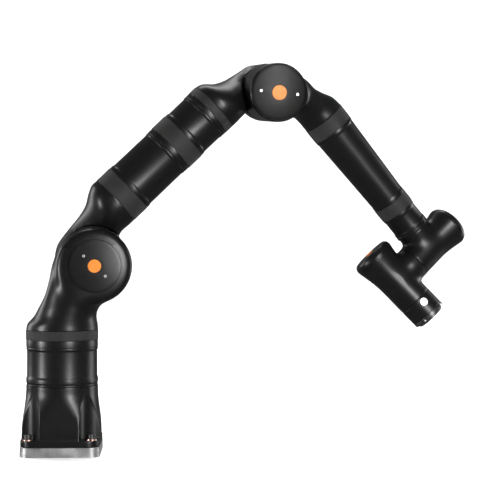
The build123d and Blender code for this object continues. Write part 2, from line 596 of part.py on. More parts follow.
    add("tool_head", TOOL, tool_head())
    add("tool_connector", TOOL, tool_connector())
    add("tool_flange", TOOL, tool_flange())
    add("flange_screws", TOOL, flange_screws())
    return nodes


if __name__ == "__main__":
    os.makedirs("parts", exist_ok=True)
    for node, shape in build().items():
        export_step(shape, f"parts/{node}.step")
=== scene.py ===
"""Looks of the seven-axis robot arm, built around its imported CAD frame.

Link shapes are drawn in millimetres in each link's own frame, as in the CAD, and placed in
metres by the joint axes of the record.
"""
import json
import math

import bmesh
import bpy
import numpy as np
from mathutils import Matrix, Vector


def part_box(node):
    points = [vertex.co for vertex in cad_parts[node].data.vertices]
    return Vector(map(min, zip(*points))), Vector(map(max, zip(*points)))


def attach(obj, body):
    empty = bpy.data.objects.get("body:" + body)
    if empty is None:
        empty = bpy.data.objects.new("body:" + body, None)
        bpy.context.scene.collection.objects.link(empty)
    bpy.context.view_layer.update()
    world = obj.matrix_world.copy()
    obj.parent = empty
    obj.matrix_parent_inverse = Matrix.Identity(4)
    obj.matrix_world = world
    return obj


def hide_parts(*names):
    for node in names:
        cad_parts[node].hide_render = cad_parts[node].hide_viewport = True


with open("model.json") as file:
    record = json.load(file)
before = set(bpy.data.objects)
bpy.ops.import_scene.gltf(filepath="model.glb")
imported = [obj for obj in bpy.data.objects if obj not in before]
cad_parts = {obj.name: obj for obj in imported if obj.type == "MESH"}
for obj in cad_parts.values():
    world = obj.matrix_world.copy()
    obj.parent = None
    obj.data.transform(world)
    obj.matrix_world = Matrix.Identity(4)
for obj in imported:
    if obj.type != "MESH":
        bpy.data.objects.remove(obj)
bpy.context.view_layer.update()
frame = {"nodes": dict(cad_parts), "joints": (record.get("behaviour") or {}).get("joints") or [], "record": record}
JOINTS = {joint["name"]: joint for joint in frame["joints"]}
MM = 0.001

# ---- Driving dimensions, millimetres --------------------------------------------------------
R_SHOULDER, R_ELBOW = 77.0, 61.0        # side-by-side joint drums
SHOULDER_FRONT, SHOULDER_SPLIT, SHOULDER_BACK = -78.0, 13.0, 78.0
ELBOW_FRONT, ELBOW_SPLIT, ELBOW_BACK = -70.0, 24.0, 84.0
SHOULDER_X, SHOULDER_Z = 64.0, 364.0    # shoulder axis from the base axis and the plate
COVER_R, REAR_COVER_R, ELBOW_COVER_R = 53.5, 47.0, 57.0
SEAM, FINE_SEAM = 0.35, 0.25            # room round a cover in its recess
LENS_HOLE, ELBOW_LENS_HOLE, CAP_LENS_HOLE = 13.45, 15.35, 9.1
R_WRIST, R_CAP = 38.0, 46.5             # wrist barrels and their end caps
WRIST_SEAT, TOOL_SEAT = 67.0, 66.0      # where the end caps meet their barrels
JOINT6_Z, JOINT7_X = -52.0, 59.0        # joint planes along the wrist axis and the tool axis
GAP = 0.3                               # running gap at a joint plane
BASE_HALF, FOOT_T, BASE_H = 80.0, 13.0, 119.7   # base casting
FOOT_CENTRE, FOOT_CORNER = 54.0, 25.8   # corner arcs of the foot
POCKET_R = 39.5                         # bolt pockets at the corners
PANEL_Y, PANEL_MID, PANEL_HALF_W, PANEL_HALF_H = 70.0, 45.0, 32.0, 21.0
CABLE_R = 10.0                          # column left in the middle of the base
JOINT1_Z, BAND1_TOP = 213.0, 232.0      # band that turns on the base
BASE_BORE = 64.2
R_UPPER, R_UPPER_END = 56.0, 55.5       # upper arm tubes
UPPER_OFFSET, FORE_OFFSET = 66.0, 53.0  # tube axes above the joint axes
UPPER_TUBE, ROLL_HOUSING = (161.0, 283.0), (318.5, 389.7)   # stations from the shoulder axis
FORE_TUBE, FORE_DRIVE = (144.5, 345.0), (373.0, 429.0)      # stations from the elbow axis
R_FORE, R_FORE_END, R_FORE_DRIVE = 46.0, 39.2, 38.8
UPPER_WALL, FORE_WALL = 6.5, 5.5
CAP_T = 15.0
JOINT_SOFT, CROWN_SOFT, REAR_SOFT, ELBOW_SOFT = 4, 24, 22, 9   # rounding of the drums' ends
SHOULDER_BLEND, ELBOW_BLEND, WRIST_BLEND = 24, 20, 16          # flow of necks into drums
FAR = 300.0                             # past every solid
DOME_RADIUS = 430.0                     # crown of the joint covers
NET_STEP = 1.9                          # grid of the sculpted castings
CURVE_STEPS = 160                       # segments round a turned piece

BASE_FORM = [                           # height, width, corner radius
    (0, 158.8, 30.0), (30, 158.0, 34.0), (56, 154.4, 46.0), (80, 150.4, 62.0),
    (102, 148.0, 73.6), (119.7, 147.0, 73.4)]
SHOULDER_FORM = [                       # height, X low, X high, Y low, Y high
    (232, -74, 74, -74, 74), (244, -71.5, 73, -74, 73), (260, -58, 70.5, -74.5, 62),
    (280, -47, 75, -75.5, 38), (303, -36, 90, -76, 12.5), (334, -27, 112, -76.5, 12.5),
    (364, -19.5, 122, -76.5, 12.5), (392, -7, 112, -76, 12)]
UPPER_NECK = [                          # station, Y low, Y high, Z low, Z high
    (-48, 16, 74, -10, 62), (-28, 15.5, 75.5, -10, 78), (0, 14.5, 76, -10, 86),
    (26, 8, 76, -6, 90.5), (50, -14, 74, 2, 94), (74, -38, 66, 9, 101),
    (96, -53, 58, 11, 115), (112, -56, 56, 10, 122), (126, -56, 56, 10, 122)]
ELBOW_NECK = [
    (-113, -56, 56, 6, 118), (-98, -56, 56.5, 6, 113.5), (-78, -48, 61, 6, 96.5),
    (-56, -26, 71, 2.5, 84.5), (-34, 0, 78, -5, 77.5), (-10, 20, 81, -15, 71.5),
    (14, 26, 81, -22, 63.5), (34, 27, 79, -24, 42)]
FORE_NECK = [
    (-24, -67, 18, -44, 50), (2, -67.5, 20, -42, 60.5), (28, -67, 23, -27, 70.5),
    (50, -62, 30, -8, 73.5), (70, -55, 38, 2.5, 83), (90, -48, 44, 6.5, 94.5),
    (114, -46, 46, 7, 99)]
WRIST_STUB = [
    (-52.7, -37, 37, -37, 37), (-42, -36.5, 36.5, -36.5, 36.5), (-28, -35.5, 35.5, -37, 36.5),
    (-8, -33, 33, -36, 36)]
TOOL_COLLAR = [                         # height, X low, X high, Y low, Y high
    (4, -33, 33, -33, 33), (22, -36, 36, -35.5, 35.5), (40, -38, 38, -38, 38), (55.7, -38, 38, -38, 38)]
FLARE = [(0, R_WRIST), (0.2, R_WRIST), (0.4, R_WRIST), (0.6, 38.7), (0.8, 42.0), (1, R_CAP)]


# ---- Link frames ----------------------------------------------------------------------------
def link_frame(origin, x=None, y=None, z=None):
    """Matrix that takes a link's millimetres to the frame's metres, from two of its axes."""
    if x is None:
        x = Vector(y).cross(Vector(z))
    if y is None:
        y = Vector(z).cross(Vector(x))
    x, y = Vector(x).normalized(), Vector(y).normalized()
    turn = Matrix((x, y, x.cross(y))).transposed().to_4x4()
    return Matrix.Translation(origin) @ turn @ Matrix.Scale(MM, 4)


def joint_axis(name, sign=1.0):
    """Direction of a joint's axis at rest, or its opposite."""
    return Vector(JOINTS[name]["axis"]) * sign


def joint_place(name):
    """A point on a joint's axis, in metres."""
    return Vector(JOINTS[name]["pos_m"])


BASE = link_frame((0, 0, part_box("mounting_plate")[1].z), x=(1, 0, 0), y=(0, 1, 0))
SHOULDER = link_frame(BASE.translation, y=joint_axis("shoulder_tilt"), z=(0, 0, 1))
UPPER = link_frame(joint_place("shoulder_tilt"),
                   x=joint_axis("upper_arm_roll"), y=joint_axis("shoulder_tilt"))
ELBOW = link_frame(joint_place("elbow_bend"),
                   x=joint_axis("upper_arm_roll"), y=joint_axis("elbow_bend", -1))
FORE = link_frame(joint_place("elbow_bend"),
                  x=joint_axis("forearm_roll"), y=joint_axis("elbow_bend", -1))
WRIST = link_frame(joint_place("wrist_bend") - joint_axis("wrist_bend") * JOINT6_Z * MM,
                   x=joint_axis("forearm_roll"), z=joint_axis("wrist_bend"))
TOOL = link_frame(joint_place("tool_rotation") - joint_axis("tool_rotation") * JOINT7_X * MM,
                  x=joint_axis("tool_rotation"), z=joint_axis("wrist_bend"))
TO_X = Matrix.Rotation(math.radians(90), 4, "Y")      # turns a piece drawn along +Z to lie along +X
TO_Y = Matrix.Rotation(math.radians(-90), 4, "X")     # the same along +Y


# ---- Materials ------------------------------------------------------------------------------
class Shader:
    """Node material with a few helpers for procedural detail in object space."""

    def __init__(self, name, **values):
        self.material = bpy.data.materials.new(name)
        self.material.use_nodes = True
        self.nodes = self.material.node_tree.nodes
        self.links = self.material.node_tree.links
        self.surface = self.nodes["Principled BSDF"]
        for socket, value in values.items():
            self.surface.inputs[socket.replace("_", " ")].default_value = value
        self.place = self.nodes.new("ShaderNodeTexCoord").outputs["Object"]

    def mapped(self, scale):
        node = self.nodes.new("ShaderNodeMapping")
        node.inputs["Scale"].default_value = scale
        self.links.new(self.place, node.inputs["Vector"])
        return node.outputs["Vector"]

    def noise(self, scale, detail=3.0, stretch=(1, 1, 1), rough=0.55):
        node = self.nodes.new("ShaderNodeTexNoise")
        node.inputs["Scale"].default_value = scale
        node.inputs["Detail"].default_value = detail
        node.inputs["Roughness"].default_value = rough
        self.links.new(self.mapped(stretch), node.inputs["Vector"])
        return node.outputs["Fac"]

    def ranged(self, source, low, high, start=0.3, end=0.7):
        node = self.nodes.new("ShaderNodeMapRange")
        node.inputs["From Min"].default_value = start
        node.inputs["From Max"].default_value = end
        node.inputs["To Min"].default_value = low
        node.inputs["To Max"].default_value = high
        self.links.new(source, node.inputs["Value"])
        return node.outputs["Result"]

    def mixed(self, factor, first, second):
        node = self.nodes.new("ShaderNodeMix")
        node.data_type = "RGBA"
        self.links.new(factor, node.inputs["Factor"])
        node.inputs["A"].default_value = (*first, 1)
        node.inputs["B"].default_value = (*second, 1)
        return node.outputs["Result"]

    def worn_edges(self, amount, start, end):
        """Mask that rises to an amount on convex edges."""
        node = self.nodes.new("ShaderNodeNewGeometry")
        return self.ranged(node.outputs["Pointiness"], 0.0, amount, start, end)

    def bump(self, heights):
        """Chain of bumps from (height source, strength, distance in metres)."""
        normal = None
        for source, strength, distance in heights:
            node = self.nodes.new("ShaderNodeBump")
            node.inputs["Strength"].default_value = strength
            node.inputs["Distance"].default_value = distance
            self.links.new(source, node.inputs["Height"])
            if normal:
                self.links.new(normal, node.inputs["Normal"])
            normal = node.outputs["Normal"]
        self.links.new(normal, self.surface.inputs["Normal"])

    def drive(self, socket, source):
        self.links.new(source, self.surface.inputs[socket])


def painted(name, rough_low, rough_high, shade, specular):
    """Satin paint over cast metal: faint orange peel, uneven gloss and rubbed edges."""
    made = Shader(name, Specular_IOR_Level=specular)
    peel = made.noise(420, 2.0)
    cast = made.noise(60, 4.0)
    made.drive("Roughness", made.ranged(cast, rough_low, rough_high))
    rubbed = tuple(v * 2.0 for v in shade)
    made.drive("Base Color", made.mixed(made.worn_edges(0.4, 0.56, 0.68), shade, rubbed))
    made.bump([(peel, 0.05, 0.00015)])
    return made.material


def elastomer():
    """Matte moulded elastomer with a fine grain."""
    made = Shader("soft_band_rubber", Specular_IOR_Level=0.2, Sheen_Weight=0.04, Sheen_Roughness=0.5)
    grain, cloud = made.noise(2600, 2.0), made.noise(45, 3.0)
    dark, light = (0.0085, 0.0085, 0.0085), (0.0115, 0.0115, 0.011)
    made.drive("Base Color", made.mixed(made.ranged(cloud, 0, 1), dark, light))
    made.drive("Roughness", made.ranged(cloud, 0.55, 0.68))
    made.bump([(grain, 0.25, 0.0001)])
    return made.material


def amber_plastic():
    """Glossy translucent amber cap over a light source that is off, with a faint painted glow: the amber also
    drives an emission.
    """
    # Emission_Strength paints a faint glow on the cap, though its light is off.
    made = Shader("amber_plastic", Coat_Weight=0.03, Coat_Roughness=0.3, Subsurface_Weight=0.25,
                  Subsurface_Scale=0.004, Emission_Strength=0.12, Roughness=0.4,
                  Specular_IOR_Level=0.15)
    cloud = made.noise(90, 2.0)
    amber_and_glow = made.mixed(made.ranged(cloud, 0, 1), (0.42, 0.125, 0.014), (0.48, 0.150, 0.020))
    made.drive("Base Color", amber_and_glow)
    # The amber colour also feeds the emission: painted glow, not a lamp.
    made.drive("Emission Color", amber_and_glow)
    made.bump([(made.noise(700, 2.0), 0.03, 0.0001)])
    return made.material


def brushed_aluminium():
    """Milled plate: long fine brush lines and a few soft scratches."""
    made = Shader("brushed_aluminium", Metallic=1.0, Anisotropic=0.5)
    lines = made.noise(220, 6.0, (1.0, 1.0, 26.0), 0.7)
    made.drive("Base Color", made.mixed(made.ranged(lines, 0, 1), (0.42, 0.42, 0.425), (0.66, 0.66, 0.665)))
    made.drive("Roughness", made.ranged(made.noise(35, 4.0), 0.26, 0.40))
    made.bump([(lines, 0.22, 0.00012), (made.noise(900, 2.0), 0.05, 0.0001)])
    return made.material


def metal(name, dark, light, rough_low, rough_high, metallic=1.0, grain=1200, depth=0.1):
    """Plain machined or plated metal with uneven polish."""
    made = Shader(name, Metallic=metallic)
    cloud = made.noise(160, 4.0)
    made.drive("Base Color", made.mixed(made.ranged(cloud, 0, 1), dark, light))
    made.drive("Roughness", made.ranged(cloud, rough_low, rough_high))
    made.bump([(made.noise(grain, 3.0), depth, 0.0001)])
    return made.material


def moulded_plastic():
    """Dark connector plastic with a fine grain."""
    made = Shader("moulded_plastic", Specular_IOR_Level=0.45)
    grain = made.noise(1500, 2.0)
    made.drive("Roughness", made.ranged(made.noise(80, 3.0), 0.45, 0.6))
    dark, light = (0.018, 0.018, 0.018), (0.028, 0.028, 0.028)
    made.drive("Base Color", made.mixed(made.ranged(grain, 0, 1), dark, light))
    made.bump([(grain, 0.2, 0.0001)])
    return made.material


PAINT = painted("satin_black_paint", 0.31, 0.35, (0.0030, 0.0030, 0.0031), 0.25)
COVER_PAINT = painted("matte_black_paint", 0.32, 0.36, (0.0030, 0.0029, 0.0027), 0.09)
FINISH = {
    "painted_casting": PAINT,
    "elastomer": elastomer(),
    "amber_lens": amber_plastic(),
    "plate_aluminium": brushed_aluminium(),
    "black_bolt": metal("black_oxide_steel", (0.045, 0.045, 0.047), (0.075, 0.074, 0.072), 0.32, 0.48, 0.9),
    "copper_washer": metal("coppered_steel", (0.66, 0.38, 0.31), (0.80, 0.50, 0.42), 0.24, 0.38),
    "bright_screw": metal("bright_steel", (0.30, 0.295, 0.29), (0.40, 0.39, 0.38), 0.34, 0.45),
    "connector_metal": metal("nickel_plate", (0.30, 0.30, 0.295), (0.42, 0.42, 0.41), 0.30, 0.42),
    "connector_plastic": moulded_plastic(),
    "flange_black": metal("black_anodised", (0.030, 0.030, 0.031), (0.045, 0.045, 0.046), 0.26, 0.38, 0.7),
    "motor_steel": metal("motor_steel", (0.30, 0.30, 0.31), (0.42, 0.42, 0.43), 0.35, 0.5),
    "gear_steel": metal("gear_steel", (0.50, 0.50, 0.52), (0.62, 0.62, 0.63), 0.25, 0.4),
}


# ---- Mesh helpers ---------------------------------------------------------------------------
def add_piece(name, verts, faces, body, slot, replaced=(), sharp=35.0, material=None):
    """New smooth-shaded piece that rides on a body and stands for CAD nodes."""
    mesh = bpy.data.meshes.new(name)
    mesh.from_pydata(verts, [], faces)
    tidy = bmesh.new()
    tidy.from_mesh(mesh)
    bmesh.ops.remove_doubles(tidy, verts=tidy.verts, dist=1e-6)
    bmesh.ops.recalc_face_normals(tidy, faces=tidy.faces)
    tidy.to_mesh(mesh)
    tidy.free()
    mesh.shade_smooth()
    mesh.set_sharp_from_angle(angle=math.radians(sharp))
    mesh.materials.append(material or FINISH[slot])
    piece = bpy.data.objects.new(name, mesh)
    bpy.context.scene.collection.objects.link(piece)
    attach(piece, body)
    if replaced:
        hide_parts(*replaced)
    return piece


def rounded_profile(corners):
    """Closed outline through (radius, height, fillet) corners, with round fillets."""
    outline = []
    count = len(corners)
    for i, (r, h, fillet) in enumerate(corners):
        here = np.array((r, h), float)
        if fillet <= 0:
            outline.append(here)
            continue
        before = np.array(corners[i - 1][:2], float) - here
        after = np.array(corners[(i + 1) % count][:2], float) - here
        len_b, len_a = np.linalg.norm(before), np.linalg.norm(after)
        before, after = before / len_b, after / len_a
        half = math.acos(np.clip(before @ after, -1, 1)) / 2
        reach = min(fillet / math.tan(half), 0.48 * len_b, 0.48 * len_a)
        radius = reach * math.tan(half)
        centre = here + (before + after) / np.linalg.norm(before + after) * radius / math.sin(half)
        start, end = here + before * reach - centre, here + after * reach - centre
        turn = math.atan2(start[0] * end[1] - start[1] * end[0], start @ end)
        steps = max(2, int(abs(turn) / math.radians(12)))
        for k in range(steps + 1):
            a = turn * k / steps
            outline.append(centre + np.array((start[0] * math.cos(a) - start[1] * math.sin(a),
                                              start[0] * math.sin(a) + start[1] * math.cos(a))))
    return outline


def lathe(outline, place, steps=CURVE_STEPS):
    """Turn a closed (radius, height) outline about the Z axis of a place."""
    verts, faces = [], []
    count = len(outline)
    for k in range(steps):
        c, s = math.cos(2 * math.pi * k / steps), math.sin(2 * math.pi * k / steps)
        verts += [place @ Vector((r * c, r * s, h)) for r, h in outline]
    for k in range(steps):
        a, b = k * count, (k + 1) % steps * count
        faces += [(a + i, a + (i + 1) % count, b + (i + 1) % count, b + i) for i in range(count)]
    return verts, faces


def turned_piece(name, corners, place, body, slot, replaced, material=None):
    """Piece turned from (radius, height, fillet) corners."""
    verts, faces = lathe(rounded_profile(corners), place)
    return add_piece(name, verts, faces, body, slot, replaced, 50.0, material)


# ---- Sculpted castings: smooth fields, meshed by surface nets ---------------------------------
def blend_min(a, b, soft):
    """Union of two fields with a fillet about as wide as soft."""
    h = np.maximum(soft - np.abs(a - b), 0) / soft
    return np.minimum(a, b) - h ** 3 * soft / 6


def blend_max(a, b, soft):
    """Intersection of two fields with a rounded edge."""
    return -blend_min(-a, -b, soft)


def through(stations, s):
    """Smooth curve through table columns at stations s: cubic, with the table's own slopes."""
    table = np.array(stations, float)
    knots, values = table[:, 0], table[:, 1:]
    slopes = np.gradient(values, knots, axis=0)
    i = np.clip(np.searchsorted(knots, s) - 1, 0, len(knots) - 2)
    span = knots[i + 1] - knots[i]
    t = np.clip((s - knots[i]) / span, 0, 1)
    weights = (2 * t ** 3 - 3 * t ** 2 + 1, (t ** 3 - 2 * t ** 2 + t) * span,
               -2 * t ** 3 + 3 * t ** 2, (t ** 3 - t ** 2) * span)
    return [weights[0] * values[i, c] + weights[1] * slopes[i, c]
            + weights[2] * values[i + 1, c] + weights[3] * slopes[i + 1, c] for c in range(values.shape[1])]


def neck_field(stations, s, a, b, end_soft=2.0):
    """Distance to a loft through ellipses at stations along s."""
    low_a, high_a, low_b, high_b = through(stations, s)
    half_a, half_b = (high_a - low_a) / 2, (high_b - low_b) / 2
    a, b = a - (low_a + high_a) / 2, b - (low_b + high_b) / 2
    near = np.sqrt((a / half_a) ** 2 + (b / half_b) ** 2)
    slope = np.sqrt((a / half_a ** 2) ** 2 + (b / half_b ** 2) ** 2) + 1e-9
    side = near * (near - 1) / slope
    ends = np.maximum(stations[0][0] - s, s - stations[-1][0])
    return blend_max(side, ends, end_soft)


def drum_field(along, radial, radius, low, high, soft_low, soft_high, dome_low=False, dome_high=False):
    """Distance to a drum whose ends may be crowned."""
    def end(distance, dome):
        crown = np.hypot(distance + DOME_RADIUS, radial) - DOME_RADIUS
        return crown if dome else distance
    side = radial - radius
    field = blend_max(side, end(low - along, dome_low), soft_low)
    return blend_max(field, end(along - high, dome_high), soft_high)


def bore(along, radial, radius, low, high):
    """Distance to a plain cylinder, for cutting."""
    return np.maximum(radial - radius, np.maximum(low - along, along - high))


def surface_net(field, low, high, step=NET_STEP):
    """Quad mesh of the zero level of a field over a box, pulled onto the exact surface."""
    low = np.array(low, float) - 2 * step
    counts = np.ceil((np.array(high, float) + 2 * step - low) / step).astype(int) + 1
    axes = [low[i] + step * np.arange(counts[i]) for i in range(3)]
    values = np.empty(counts, np.float32)
    for i in range(0, counts[0], 24):
        grid = np.meshgrid(axes[0][i:i + 24], axes[1], axes[2], indexing="ij")
        values[i:i + 24] = field(*grid)
    inside = values < 0
    corner_sum = sum(inside[i:counts[0] - 1 + i, j:counts[1] - 1 + j, k:counts[2] - 1 + k].astype(np.int8)
                     for i in (0, 1) for j in (0, 1) for k in (0, 1))
    cells = np.argwhere((corner_sum > 0) & (corner_sum < 8))
    number = -np.ones(counts - 1, int)
    number[tuple(cells.T)] = np.arange(len(cells))
    points, hits = np.zeros((len(cells), 3)), np.zeros(len(cells))
    for axis in range(3):
        u, v = [n for n in range(3) if n != axis]
        for du in (0, 1):
            for dv in (0, 1):
                first = cells.copy()
                first[:, u] += du
                first[:, v] += dv
                second = first.copy()
                second[:, axis] += 1
                a, b = values[tuple(first.T)], values[tuple(second.T)]
                cut = (a < 0) != (b < 0)
                place = first[cut].astype(float)
                place[:, axis] += a[cut] / (a[cut] - b[cut])
                points[cut] += place
                hits[cut] += 1
    points = low + step * points / hits[:, None]
    for _ in range(3):
        value = field(*points.T)
        slope = np.stack([field(*(points + shift).T) - field(*(points - shift).T)
                          for shift in np.eye(3) * 0.2], 1) / 0.4
        pull = slope * (value / np.maximum((slope ** 2).sum(1), 0.2))[:, None]
        points -= np.clip(pull, -0.35 * step, 0.35 * step)
    faces = []
    for axis in range(3):
        u, v = (axis + 1) % 3, (axis + 2) % 3
        inner = [slice(1, -1)] * 3
        inner[axis] = slice(0, -1)
        shifted = [slice(1, -1)] * 3
        shifted[axis] = slice(1, None)
        change = inside[tuple(inner)].astype(int) - inside[tuple(shifted)].astype(int)
        for sign in (1, -1):
            edge = np.argwhere(change == sign)
            edge[:, u] += 1
            edge[:, v] += 1
            ring = []
            for du, dv in ((0, 0), (-1, 0), (-1, -1), (0, -1))[::sign]:
                cell = edge.copy()
                cell[:, u] += du
                cell[:, v] += dv
                ring.append(number[tuple(cell.T)])
            faces.append(np.stack(ring, 1))
    return points, np.concatenate(faces)


def cutter(radius, low, high, place):
    """Hidden cylinder for a crisp boolean cut, drawn along Z of a place."""
    verts, faces = lathe([(0.001, low), (radius, low), (radius, high), (0.001, high)], place)
    mesh = bpy.data.meshes.new("cutter")
    mesh.from_pydata(verts, [], faces)
    tidy = bmesh.new()
    tidy.from_mesh(mesh)
    bmesh.ops.remove_doubles(tidy, verts=tidy.verts, dist=5e-6)
    bmesh.ops.recalc_face_normals(tidy, faces=tidy.faces)
    tidy.to_mesh(mesh)
    tidy.free()
    made = bpy.data.objects.new("cutter", mesh)
    bpy.context.scene.collection.objects.link(made)
    return made


def apply_cuts(piece, cutters):
    """Cut the piece with each cutter and remove the cutters."""
    for tool in cutters:
        cut = piece.modifiers.new("cut", "BOOLEAN")
        cut.object, cut.operation, cut.solver = tool, "DIFFERENCE", "MANIFOLD"
    graph = bpy.context.evaluated_depsgraph_get()
    mesh = bpy.data.meshes.new_from_object(piece.evaluated_get(graph))
    piece.modifiers.clear()
    piece.data = mesh
    for tool in cutters:
        bpy.data.objects.remove(tool)
    mesh.shade_smooth()
    mesh.set_sharp_from_angle(angle=math.radians(35))


def sculpted(name, field, low, high, link, body, node, cuts=()):
    """Mesh a casting over its box, with cuts given as (radius, low, high, place)."""
    points, faces = surface_net(field, low, high)
    turn = np.array(link)
    world = points @ turn[:3, :3].T + turn[:3, 3]
    piece = add_piece(name, world.tolist(), faces.tolist(), body, "painted_casting", [node])
    if cuts:
        apply_cuts(piece, [cutter(radius, lo, hi, link @ place) for radius, lo, hi, place in cuts])


def rounded_square(x, y, half, corner):
    """Distance to a square with rounded corners."""
    flat_x, flat_y = np.abs(x) - (half - corner), np.abs(y) - (half - corner)
    outside = np.hypot(np.maximum(flat_x, 0), np.maximum(flat_y, 0))
    return outside + np.minimum(np.maximum(flat_x, flat_y), 0) - corner


def base_casting_field(x, y, z):
    """Base with four bolt pockets, on a square foot, with a recess for the connector panel."""
    width, corner = through(BASE_FORM, z)
    body = blend_max(rounded_square(x, y, width / 2, corner), z - BASE_H, 2.0)
    pocket = np.hypot(np.abs(x) - BASE_HALF, np.abs(y) - BASE_HALF) - POCKET_R
    body = blend_max(body, -np.maximum(pocket, FOOT_T - z), 3.5)
    foot = blend_max(rounded_square(x, y, FOOT_CENTRE + FOOT_CORNER, FOOT_CORNER), z - FOOT_T, 3.0)
    both = np.maximum(blend_min(body, foot, 3.0), -z)
    sides = np.maximum(np.abs(x) - PANEL_HALF_W, np.abs(z - PANEL_MID) - PANEL_HALF_H)
    recess = np.maximum(sides, PANEL_Y - y)
    column = bore(z, np.hypot(x, y), CABLE_R, -1, 200)
    return np.maximum(both, -np.maximum(recess, -column))


def shoulder_field(x, y, z):
    radial = np.hypot(x - SHOULDER_X, z - SHOULDER_Z)
    drum = drum_field(y, radial, R_SHOULDER, SHOULDER_FRONT, SHOULDER_SPLIT,
                      CROWN_SOFT, JOINT_SOFT, dome_low=True)
    body = blend_min(neck_field(SHOULDER_FORM, z, x, y), drum, SHOULDER_BLEND)
    beside = bore(y, radial, R_SHOULDER + 16, SHOULDER_SPLIT, FAR)
    return np.maximum(blend_max(body, -beside, 3), BAND1_TOP - z)


def upper_knuckle_field(x, y, z):
    radial = np.hypot(x, z)
    drum = drum_field(y, radial, R_SHOULDER, SHOULDER_SPLIT + GAP, SHOULDER_BACK,
                      JOINT_SOFT, CROWN_SOFT, dome_high=True)
    body = blend_min(neck_field(UPPER_NECK, x, y, z), drum, SHOULDER_BLEND)
    beside = bore(y, radial, R_SHOULDER + 5.5, -FAR, SHOULDER_SPLIT + GAP)
    return np.maximum(blend_max(body, -beside, 3), x - UPPER_NECK[-1][0])


def elbow_field(x, y, z):
    radial = np.hypot(x, z)
    drum = drum_field(y, radial, R_ELBOW, ELBOW_SPLIT + GAP, ELBOW_BACK,
                      JOINT_SOFT, REAR_SOFT, dome_high=True)
    body = blend_min(neck_field(ELBOW_NECK, x, y, z), drum, ELBOW_BLEND)
    beside = bore(y, radial, R_ELBOW + 3.5, -FAR, ELBOW_SPLIT + GAP)
    return np.maximum(blend_max(body, -beside, 3), ELBOW_NECK[0][0] - x)


def forearm_knuckle_field(x, y, z):
    radial = np.hypot(x, z)
    drum = drum_field(y, radial, R_ELBOW, ELBOW_FRONT, ELBOW_SPLIT,
                      ELBOW_SOFT, JOINT_SOFT, dome_low=True)
    body = blend_min(neck_field(FORE_NECK, x, y, z), drum, ELBOW_BLEND)
    beside = bore(y, radial, R_ELBOW + 3.5, ELBOW_SPLIT, FAR)
    return np.maximum(blend_max(body, -beside, 3), x - FORE_NECK[-1][0])


def barrel_field(along, radial, low, high):
    """Barrel that flares towards its cap at the high end."""
    radius, = through([(low + (high - low) * share, r) for share, r in FLARE], along)
    return blend_max(radial - radius, np.maximum(low - along, along - high), 2.0)


def wrist_field(x, y, z):
    barrel = barrel_field(z, np.hypot(x, y), JOINT6_Z, WRIST_SEAT)
    return blend_min(barrel, neck_field(WRIST_STUB, x, y, z), WRIST_BLEND)


def tool_drive_field(x, y, z):
    barrel = barrel_field(-x, np.hypot(y, z), -JOINT7_X, TOOL_SEAT)
    return blend_min(barrel, neck_field(TOOL_COLLAR, z, x, y), WRIST_BLEND)


def build_castings():
    """The seven castings, with round recesses for the covers of the drums."""
    shoulder_axis = Matrix.Translation((SHOULDER_X, 0, SHOULDER_Z)) @ TO_Y
    sculpted("base_foot", base_casting_field, (-80, -80, 0), (80, 80, 120),
             BASE, "base", "base_casting")
    sculpted("shoulder_shell", shoulder_field, (-76, -80, 232), (142, 76, 442),
             SHOULDER, "shoulder", "shoulder_housing",
             [(COVER_R + SEAM, SHOULDER_FRONT - 5, SHOULDER_FRONT + 6, shoulder_axis)])
    sculpted("upper_arm_shell", upper_knuckle_field, (-78, -57, -78), (127, 79, 124),
             UPPER, "upper_arm", "upper_arm_knuckle",
             [(COVER_R + SEAM, SHOULDER_BACK - 6, SHOULDER_BACK + 5, TO_Y)])
    sculpted("elbow_shell", elbow_field, (-114, -57, -62), (62, 85, 119),
             ELBOW, "elbow", "elbow_housing",
             [(REAR_COVER_R + SEAM, ELBOW_BACK - 6, ELBOW_BACK + 5, TO_Y)])
    sculpted("forearm_shell", forearm_knuckle_field, (-62, -71, -62), (115, 47, 100),
             FORE, "forearm", "forearm_knuckle",
             [(ELBOW_COVER_R + FINE_SEAM, ELBOW_FRONT - 5, ELBOW_FRONT + 5, TO_Y)])
    sculpted("wrist_shell", wrist_field, (-54, -48, -53), (48, 48, 68),
             WRIST, "wrist", "wrist_housing")
    sculpted("tool_drive_shell", tool_drive_field, (-67, -48, -48), (60, 48, 57),
             TOOL, "tool_drive", "tool_drive_housing")


def build_covers():
    """Crowned covers with a thin seam round them."""
    def crown(radius):
        return DOME_RADIUS - math.sqrt(DOME_RADIUS ** 2 - radius ** 2)

    def cover(name, node, place, radius, inner, body, material):
        edge = [(inner, crown(inner), 0.2)]
        rings = [inner + (radius - inner) * k / 6 for k in range(1, 6)]
        edge += [(r, crown(r), 0) for r in rings]
        edge += [(radius, crown(radius), 0.7), (radius, crown(radius) + 3.2, 0.2)]
        edge.append((inner, 3.4 + crown(inner), 0.2))
        turned_piece(name, edge, place, body, "painted_casting", [node], material)

    shoulder = SHOULDER @ Matrix.Translation((SHOULDER_X, 0, SHOULDER_Z))
    front = shoulder @ TO_Y @ Matrix.Translation((0, 0, SHOULDER_FRONT))
    cover("shoulder_cap", "shoulder_cover", front, COVER_R, LENS_HOLE, "shoulder", PAINT)
    elbow_front = FORE @ TO_Y @ Matrix.Translation((0, 0, ELBOW_FRONT))
    cover("elbow_cap", "elbow_cover", elbow_front, ELBOW_COVER_R, ELBOW_LENS_HOLE, "forearm",
          COVER_PAINT)


